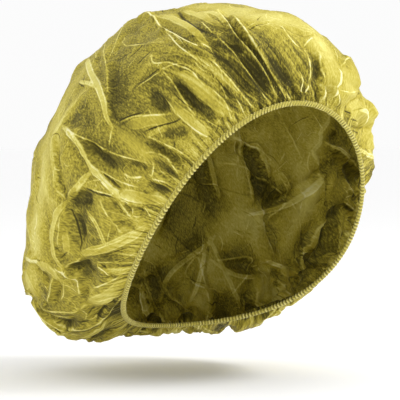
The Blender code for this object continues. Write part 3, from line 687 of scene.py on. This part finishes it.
# Each pleat's crest is painted paler and the cloth just beside it a little darker: painted highlight and
# shade.
pleat_tone = np.zeros(POINTS)
for turn, top, tall, span in zip(pleat_turns, pleat_tops, pleat_heights, pleat_spans):
    apart = np.abs((turns - turn + math.pi) % math.tau - math.pi)
    fade = unit(1 - rises / top) * unit(0.35 + rises / 0.012)
    ridge = np.clip(1 - apart / (span * (1 + 6 * rises)), -0.4, 1) * (apart < 2 * span)
    height += tall * fade * ridge
    pleat_tone += (tall / PLEAT_HEIGHT) * fade * ridge

# The cloth's tone: paler where it lies double, with painted highlights on ridges, crumple edges and
# pleats, and darker as painted shade where it is thin or hollow.
TINT_TONE, CREASE_TONE, PLEAT_TONE, BASE_TONE = 0.05, 0.16, 0.45, -0.18
FAN_PLACE, FAN_LEAN, FAN_SPAN = -8, 70, 26
FAN_RISE, FAN_FADE = 0.12, 0.13
pale, dark = 1 - paler, 1 - darker
tone = pale - dark * (1 - pale)
# Pale lines on the crumples' raised edges are a painted highlight; each crumple's own tint differs at
# random.
creases = unit(1 - coarse_edge / 0.10) * unit(0.5 + coarse_tint)
tone += loose * (TINT_TONE * coarse_tint + CREASE_TONE * creases)
tone += PLEAT_TONE * pleat_tone + BASE_TONE
in_band = bands.strength * unit(0.5 - bands.off)
in_shadow = shadows.strength * unit(0.5 - shadows.off)
# The fibre mottle shows most where the cloth is painted darkest and in the painted shadows, least on the
# pale bands.
thin = unit(0.55 - 0.9 * tone + 0.6 * in_shadow - in_band) * (1 - 0.6 * doubled)
fan_turn = (np.degrees(turns) + FAN_LEAN * rises - FAN_PLACE) / FAN_SPAN
fan_rise = np.clip((rises - FAN_RISE) / FAN_FADE, 0, None)
fan_mask = np.exp(-(fan_turn**2) - fan_rise**2)
wrinkles.strength *= 1 - 0.8 * doubled


def new_piece(name, points, faces):
    """A smooth mesh object at the origin, of those points and faces."""
    bpy.ops.object.select_all(action="DESELECT")
    bpy.ops.mesh.primitive_grid_add(x_subdivisions=2, y_subdivisions=2, size=0.1)
    piece = bpy.context.object
    piece.name = name
    piece.data.clear_geometry()
    piece.data.from_pydata(points.tolist(), [], faces)
    piece.data.shade_smooth()
    return piece


def store(mesh, name, values):
    """Gives each point of the mesh a value under that name, for the paint."""
    held = mesh.attributes.new(name, "FLOAT", "POINT")
    held.data.foreach_set("value", values.astype(np.float32))


# The bag's edge runs on a little way into the hem, so that no light shows between the two.
HEM_LAP = 0.0014
points = smooth + outward * height[:, None]
points[:COLUMNS] -= INWARD * HEM_LAP
pole = smooth_bag(np.array([0.0]), np.array([1.0]))
here = np.arange(ROWS * COLUMNS).reshape(shape)
beside = np.roll(here, -1, axis=1)
quads = np.stack([here[:-1], beside[:-1], beside[1:], here[1:]], axis=-1).reshape(-1, 4)
crown = [(here[-1, k], beside[-1, k], ROWS * COLUMNS) for k in range(COLUMNS)]
cap_bag = new_piece("bouffant_bag", np.vstack([points, pole]), quads.tolist() + crown)
mesh = cap_bag.data
store(mesh, "tone", np.append(tone, tone[-1]))
store(mesh, "thin", np.append(thin, 0.5))
store(mesh, "fan", np.append(fan_mask, 0.0))
for name, off, strength in (
    ("ridge", ridges.share, ridges.shown()),
    ("slit_shadow", slit_shadows.share, slit_shadows.shown()),
    ("wrinkle", wrinkles.share, wrinkles.shown()),
    ("band", bands.off, bands.strength),
    ("shadow", shadows.off, shadows.strength),
):
    store(mesh, name + "_off", np.append(np.clip(off, -6, 6), 0.0))
    store(mesh, name + "_strength", np.append(strength, 0.0))

# The cloth's own map, in metres round and up. Faces across the seam go on past its end.
cloth_map = mesh.uv_layers.new(name="cloth_map")
corner = np.empty(len(mesh.loops), np.int32)
mesh.loops.foreach_get("vertex_index", corner)
round_cloth = np.append(turns * WAIST_RADIUS, 0.0)[corner]
up_cloth = np.append(rises * CLOTH_RISE, CLOTH_RISE)[corner]
faces_of = np.repeat(np.arange(len(mesh.polygons)), [p.loop_total for p in mesh.polygons])
widest = np.full(len(mesh.polygons), -9.0)
np.maximum.at(widest, faces_of, round_cloth)
across_seam = widest[faces_of] - round_cloth > 0.3
round_cloth = np.where(across_seam, round_cloth + math.tau * WAIST_RADIUS, round_cloth)
cloth_map.data.foreach_set("uv", np.stack([round_cloth, up_cloth], -1).astype(np.float32).ravel())


def fill(tree, node, inputs):
    """Gives each input of the node its value, or a link if that is a socket."""
    for key, value in inputs.items():
        if isinstance(value, bpy.types.NodeSocket):
            tree.links.new(value, node.inputs[key])
        else:
            node.inputs[key].default_value = value


def put(tree, kind, inputs, **settings):
    """Adds a node with those settings and inputs."""
    node = tree.nodes.new(kind)
    for name, setting in settings.items():
        setattr(node, name, setting)
    fill(tree, node, inputs)
    return node


def math_of(tree, operation, *values):
    """The result of a sum or product of those numbers and sockets."""
    node = put(tree, "ShaderNodeMath", dict(enumerate(values)), operation=operation)
    return node.outputs["Value"]


def ranged(tree, value, start, end, first=0.0, last=1.0, kind="LINEAR"):
    """The value, with the range from start to end brought over to that from first to last."""
    inputs = {"Value": value, "From Min": start, "From Max": end, "To Min": first, "To Max": last}
    return put(tree, "ShaderNodeMapRange", inputs, interpolation_type=kind).outputs["Result"]


def noise(tree, place, scale, detail=2.0, roughness=0.5):
    inputs = {"Vector": place, "Scale": scale, "Detail": detail, "Roughness": roughness}
    return put(tree, "ShaderNodeTexNoise", inputs)


def stored(tree, name):
    """The value that the mesh holds under that name."""
    return put(tree, "ShaderNodeAttribute", {}, attribute_name=name).outputs["Fac"]


def centred_times(tree, value, level):
    """How far the value lies above or below one half, times the level."""
    return math_of(tree, "MULTIPLY", math_of(tree, "SUBTRACT", value, 0.5), level)


# Scales are numbers in a metre of cloth. Those of the creases come with their line width
# and their strength.
FIBRE_SCALE = 980.0
FIBRE_LEANS = (50, -35)
FIBRE_STRETCH = (1.0, 0.42, 1.0)
CREASE_SCALES = ((62.0, 0.050, 1.0), (150.0, 0.085, 0.6))
CREASE_WANDER = (0.004, 0.004, 0.0)
WANDER_SCALE = 60.0


def fibre_pattern():
    """A node group: mottling of bonded fibres, hair creases and facets, on the cloth's map."""
    group = bpy.data.node_groups.new("bonded_fibres", "ShaderNodeTree")
    group.interface.new_socket("Cloth Map", in_out="INPUT", socket_type="NodeSocketVector")
    size = group.interface.new_socket("Size", in_out="INPUT", socket_type="NodeSocketFloat")
    size.default_value = 1.0
    for name in ("Mottle", "Creases", "Facets"):
        group.interface.new_socket(name, in_out="OUTPUT", socket_type="NodeSocketFloat")
    start, end = group.nodes.new("NodeGroupInput"), group.nodes.new("NodeGroupOutput")
    cloth_place = start.outputs["Cloth Map"]
    scale = math_of(group, "DIVIDE", FIBRE_SCALE, start.outputs["Size"])
    layers = []
    for lean in FIBRE_LEANS:
        inputs = {"Rotation": (0, 0, math.radians(lean)), "Scale": FIBRE_STRETCH}
        inputs["Vector"] = cloth_place
        turned = put(group, "ShaderNodeMapping", inputs).outputs["Vector"]
        layers.append(noise(group, turned, scale, 3.0, 0.62).outputs["Fac"])
    wander = noise(group, cloth_place, WANDER_SCALE).outputs["Color"]
    inputs = {0: wander, 1: CREASE_WANDER, 2: cloth_place}
    warped = put(group, "ShaderNodeVectorMath", inputs, operation="MULTIPLY_ADD").outputs["Vector"]
    creases = 0.0
    for cell_scale, line_width, share in CREASE_SCALES:
        inputs = {"Scale": cell_scale, "Vector": warped}
        cells = put(group, "ShaderNodeTexVoronoi", inputs, feature="DISTANCE_TO_EDGE")
        line = ranged(group, cells.outputs["Distance"], 0.0, line_width, share, 0.0)
        where = noise(group, cloth_place, cell_scale * 0.9).outputs["Fac"]
        shown = math_of(group, "MULTIPLY", line, ranged(group, where, 0.47, 0.62))
        creases = math_of(group, "MAXIMUM", creases, shown)
    facets = put(group, "ShaderNodeTexVoronoi", {"Scale": CREASE_SCALES[0][0], "Vector": warped})
    split = put(group, "ShaderNodeSeparateColor", {"Color": facets.outputs["Color"]})
    mottle = math_of(group, "ADD", *layers)
    tints = math_of(group, "SUBTRACT", split.outputs["Red"], 0.5)
    fill(group, end, {"Mottle": mottle, "Creases": creases, "Facets": tints})
    return group


bonded_fibres = fibre_pattern()


def cloth_paint(name, roughness, specular, sheen):
    """A new non-woven material: its nodes and its shader."""
    paint = bpy.data.materials.new(name)
    paint.use_nodes = True
    shader = paint.node_tree.nodes["Principled BSDF"]
    inputs = {"Roughness": roughness, "Specular IOR Level": specular, "Sheen Weight": sheen}
    fill(paint.node_tree, shader, inputs)
    return paint, paint.node_tree, shader


def fibres_on(tree, place, size):
    """The bonded fibres laid on that map. Their mottle has its middle at 1."""
    inputs = {"Cloth Map": place, "Size": size}
    return put(tree, "ShaderNodeGroup", inputs, node_tree=bonded_fibres)


def colour_by(tree, shader, tone, darkest, palest, between):
    """Colours from the darkest at tone -1 to the palest at tone 1."""
    colours = put(tree, "ShaderNodeValToRGB", {"Fac": ranged(tree, tone, -1.0, 1.0)})
    ramp = colours.color_ramp
    ramp.elements[0].color = (*darkest, 1)
    ramp.elements[1].color = (*palest, 1)
    for place, colour in between:
        ramp.elements.new(place).color = (*colour, 1)
    fill(tree, shader, {"Base Color": colours.outputs["Color"]})


def roughen(tree, shader, height, strength, depth):
    """A fine bump from that height."""
    inputs = {"Strength": strength, "Distance": depth, "Height": height}
    bump = put(tree, "ShaderNodeBump", inputs)
    fill(tree, shader, {"Normal": bump.outputs["Normal"]})


nonwoven, tree, cloth = cloth_paint("yellow_nonwoven", 0.62, 0.15, 0.05)
fill(tree, cloth, {"Sheen Roughness": 0.35, "Sheen Tint": (1.0, 0.92, 0.50, 1)})
on_cloth = put(tree, "ShaderNodeUVMap", {}, uv_map="cloth_map").outputs["UV"]
fibres = fibres_on(tree, on_cloth, 1.0)
mottle = math_of(tree, "SUBTRACT", fibres.outputs["Mottle"], 1.0)
mottle_share = ranged(tree, stored(tree, "thin"), 0.0, 1.0, 0.40, 1.45)
toned = math_of(tree, "MULTIPLY_ADD", mottle, mottle_share, stored(tree, "tone"))

# How fine the streaks and patches are, by their number in a metre of cloth.
HEM_STREAKS, HEM_STREAK_TOP = 330.0, 0.030
FOREHEAD_STREAKS = 300.0
PATCHES = 95.0


def line_mask(name, start, end):
    """A crisp thin line where the stored distance passes nought, as strong as stored."""
    size = math_of(tree, "ABSOLUTE", stored(tree, name + "_off"))
    mask = ranged(tree, size, start, end, 1.0, 0.0)
    return math_of(tree, "MULTIPLY", mask, stored(tree, name + "_strength"))


def area_mask(name, start, end):
    """The inside of the wide marks, with the edge as crisp as the two distances in mm say."""
    mask = ranged(tree, stored(tree, name + "_off"), start, end, 1.0, 0.0, "SMOOTHSTEP")
    return math_of(tree, "MULTIPLY", mask, stored(tree, name + "_strength"))


def area_edge(name, middle, reach):
    """The rim of the wide marks, as far to both sides of its middle as the reach, in mm."""
    rim = math_of(tree, "COMPARE", stored(tree, name + "_off"), middle, reach)
    return math_of(tree, "MULTIPLY", rim, stored(tree, name + "_strength"))


def patchy(mask):
    """The same lines, stronger in some places and fainter in others."""
    level = ranged(tree, noise(tree, on_cloth, PATCHES).outputs["Fac"], 0.36, 0.62, 0.35, 1.2)
    return math_of(tree, "MULTIPLY", mask, level)


def near_hem():
    """Fine upright streaks over the hem, paler and darker by turns, that die out upward."""
    inputs = {"Vector": on_cloth, "Scale": (1.0, 0.07, 1.0)}
    drawn = put(tree, "ShaderNodeMapping", inputs).outputs["Vector"]
    streaks = noise(tree, drawn, HEM_STREAKS, 2.0, 0.65).outputs["Fac"]
    split = put(tree, "ShaderNodeSeparateXYZ", {"Vector": on_cloth})
    return centred_times(tree, streaks, ranged(tree, split.outputs["Y"], 0.0, HEM_STREAK_TOP, 4.0, 0.0))


def forehead_streaks():
    """Long fine gathers that lean with the forehead folds, where the stored mask allows."""
    inputs = {"Vector": on_cloth, "Rotation": (0, 0, math.radians(25)), "Scale": (1.0, 18.0, 1.0)}
    drawn = put(tree, "ShaderNodeMapping", inputs, vector_type="TEXTURE").outputs["Vector"]
    streaks = noise(tree, drawn, FOREHEAD_STREAKS, 2.5, 0.6).outputs["Fac"]
    return centred_times(tree, streaks, stored(tree, "fan"))


# Painted light and shade in the tone: the shadow layer is painted shade in the hollows, the slit layer a
# painted shadow beside each ridge, the ridge layer a painted highlight along each crest on top of the
# paler doubled cloth, and the wrinkle layer paints each small crease paler or darker as it stands up or
# sinks in. The band layers make the doubled cloth paler, with a pale line along its edge; creases, facets
# and streaks are the cloth's own pattern.
TONE_LAYERS = (
    (fibres.outputs["Creases"], 0.18),
    (fibres.outputs["Facets"], 0.13),
    (near_hem(), 1.0),
    (forehead_streaks(), 3.6),
    (area_mask("shadow", -2.2, 0.6), -0.62),
    (area_mask("band", -0.3, 0.4), 0.8),
    (patchy(area_edge("band", -0.25, 0.5)), 0.55),
    (line_mask("wrinkle", 0.1, 1.0), 1.0),
    (line_mask("slit_shadow", 0.2, 1.3), -1.0),
    (patchy(line_mask("ridge", 0.15, 1.0)), 1.9),
)
for layer, share in TONE_LAYERS:
    toned = math_of(tree, "MULTIPLY_ADD", layer, share, toned)
CLOTH_DARKEST = (0.052, 0.044, 0.007)
CLOTH_PALEST = (0.93, 0.88, 0.46)
CLOTH_COLOURS = (
    (0.25, (0.17, 0.142, 0.018)),
    (0.50, (0.50, 0.415, 0.050)),
    (0.78, (0.77, 0.70, 0.20)),
)
colour_by(tree, cloth, toned, CLOTH_DARKEST, CLOTH_PALEST, CLOTH_COLOURS)
roughen(tree, cloth, toned, 0.6, 0.0005)
mesh.materials.append(nonwoven)

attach(cap_bag, "root")
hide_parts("cap_bag")


# ------------ elastic hem
# The disc's edge is turned in over a thin elastic thread and welded to itself. The thread
# draws the narrow casing up into a rope of tiny slanting pleats all round the opening.

HEM_DIAMETER = 0.0042
HEM_PLEATS = 250
PLEAT_COLUMNS = 6
HEM_COLUMNS = HEM_PLEATS * PLEAT_COLUMNS
HEM_SIDES = 12
PIECE_GAP = 0.0003
BODY_SHARE, PLEAT_SHARE = 0.86, 0.14
OUT_SHARE, SIDE_SHARE = 0.8, 0.92

hem_turn = np.linspace(-math.pi, math.pi, HEM_COLUMNS, endpoint=False)
hem_middle = smooth_bag(hem_turn, np.zeros(HEM_COLUMNS)) - INWARD * (PIECE_GAP + HEM_DIAMETER / 2)
hem_along = np.roll(hem_middle, -1, axis=0) - np.roll(hem_middle, 1, axis=0)
hem_along /= np.linalg.norm(hem_along, axis=1, keepdims=True)
hem_out = outward_of(hem_turn, np.zeros(HEM_COLUMNS))
hem_out -= (hem_out * hem_along).sum(1, keepdims=True) * hem_along
hem_out /= np.linalg.norm(hem_out, axis=1, keepdims=True)
hem_side = np.cross(hem_along, hem_out)
chance = np.random.default_rng(12)
swell = np.repeat(chance.uniform(0.4, 1.4, HEM_PLEATS), PLEAT_COLUMNS)
hem_points, hem_tone = [], []
for side in range(HEM_SIDES):
    angle = math.tau * side / HEM_SIDES
    slant = 0.9 * math.sin(angle) + 0.35 * math.cos(2 * angle)
    pleat = np.cos(hem_turn * HEM_PLEATS + slant * math.pi)
    radius = HEM_DIAMETER / 2 * (BODY_SHARE + PLEAT_SHARE * pleat * swell)
    offset = math.cos(angle) * hem_out * OUT_SHARE + math.sin(angle) * hem_side * SIDE_SHARE
    hem_points.append(hem_middle + offset * radius[:, None])
    # Each pleat's crest is painted paler and its trough darker: painted highlight and shade.
    hem_tone.append(-0.12 + 0.62 * pleat * swell)
hem_points = np.array(hem_points).transpose(1, 0, 2).reshape(-1, 3)
here = np.arange(HEM_COLUMNS * HEM_SIDES).reshape(HEM_COLUMNS, HEM_SIDES)
beside = np.roll(here, -1, axis=0)
hem_quads = np.stack([here, np.roll(here, -1, axis=1), np.roll(beside, -1, axis=1), beside], -1)
hem = new_piece("gathered_hem", hem_points, hem_quads.reshape(-1, 4).tolist())
bpy.ops.object.mode_set(mode="EDIT")
bpy.ops.mesh.select_all(action="SELECT")
bpy.ops.mesh.normals_make_consistent(inside=False)
bpy.ops.object.mode_set(mode="OBJECT")
store(hem.data, "tone", np.array(hem_tone).T.ravel())

gathered_edge, tree, edge = cloth_paint("gathered_edge", 0.6, 0.35, 0.15)
fibres = fibres_on(tree, put(tree, "ShaderNodeTexCoord", {}).outputs["Object"], 0.6)
mottle = math_of(tree, "SUBTRACT", fibres.outputs["Mottle"], 1.0)
toned = math_of(tree, "MULTIPLY_ADD", mottle, 0.9, stored(tree, "tone"))
EDGE_DARKEST = (0.10, 0.085, 0.010)
EDGE_PALEST = (0.90, 0.84, 0.42)
EDGE_COLOURS = ((0.35, (0.34, 0.285, 0.035)), (0.60, (0.62, 0.54, 0.10)))
colour_by(tree, edge, toned, EDGE_DARKEST, EDGE_PALEST, EDGE_COLOURS)
roughen(tree, edge, fibres.outputs["Mottle"], 0.5, 0.0003)
hem.data.materials.append(gathered_edge)

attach(hem, "root")
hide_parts("elastic_hem")


# ------------ floor, light and camera
# A plain pale floor lies well below the cap, soft light falls from the upper right and front,
# and the camera looks at the forehead and the wearer's right side, as in the photograph.

FLOOR_LEVEL = -0.11
LIGHT_AIM = (0, 0.03, 0.03)
CAMERA_AIM = (0, 0.014, 0)
CAMERA_DISTANCE = 1.6
CAMERA_AZIMUTH, CAMERA_ELEVATION = -30, 2

bpy.ops.object.select_all(action="DESELECT")
bpy.ops.mesh.primitive_plane_add(size=40, location=(0, 0, 0))
floor = bpy.context.object
floor.name = "floor"
for vertex in floor.data.vertices:
    vertex.co.z += FLOOR_LEVEL
floor_paint = bpy.data.materials.new("floor_paint")
floor_paint.use_nodes = True
tree = floor_paint.node_tree
inputs = {"Base Color": (0.99, 0.99, 0.99, 1), "Roughness": 0.9}
fill(tree, tree.nodes["Principled BSDF"], inputs)
floor.data.materials.append(floor_paint)

world = bpy.data.worlds.new("studio")
scene.world = world
world.use_nodes = True
tree = world.node_tree
fill(tree, tree.nodes["Background"], {"Color": (1, 1, 1, 1), "Strength": 0.97})


def soft_light(name, place, size, power):
    """A square lamp at that place, turned to the cap."""
    lamp = bpy.data.lights.new(name, "AREA")
    lamp.shape = "SQUARE"
    lamp.size = size
    lamp.energy = power
    holder = bpy.data.objects.new(name, lamp)
    scene.collection.objects.link(holder)
    holder.location = place
    holder.rotation_euler = (Vector(LIGHT_AIM) - Vector(place)).to_track_quat("-Z", "Y").to_euler()


soft_light("key_light", (1.0, -0.7, 1.3), 0.6, 14.0)
soft_light("fill_light", (-1.6, -1.2, 0.5), 1.4, 3.0)

camera_data = bpy.data.cameras.new("camera")
camera_data.sensor_width = 36
camera_data.lens = 216
camera_data.shift_x = -0.0525
camera_data.shift_y = 0.04
camera = bpy.data.objects.new("camera", camera_data)
scene.collection.objects.link(camera)
azimuth, elevation = math.radians(CAMERA_AZIMUTH), math.radians(CAMERA_ELEVATION)
level = math.cos(elevation)
away = Vector((math.sin(azimuth) * level, -math.cos(azimuth) * level, math.sin(elevation)))
camera.location = Vector(CAMERA_AIM) + CAMERA_DISTANCE * away
camera.rotation_euler = (-away).to_track_quat("-Z", "Y").to_euler()
scene.camera = camera
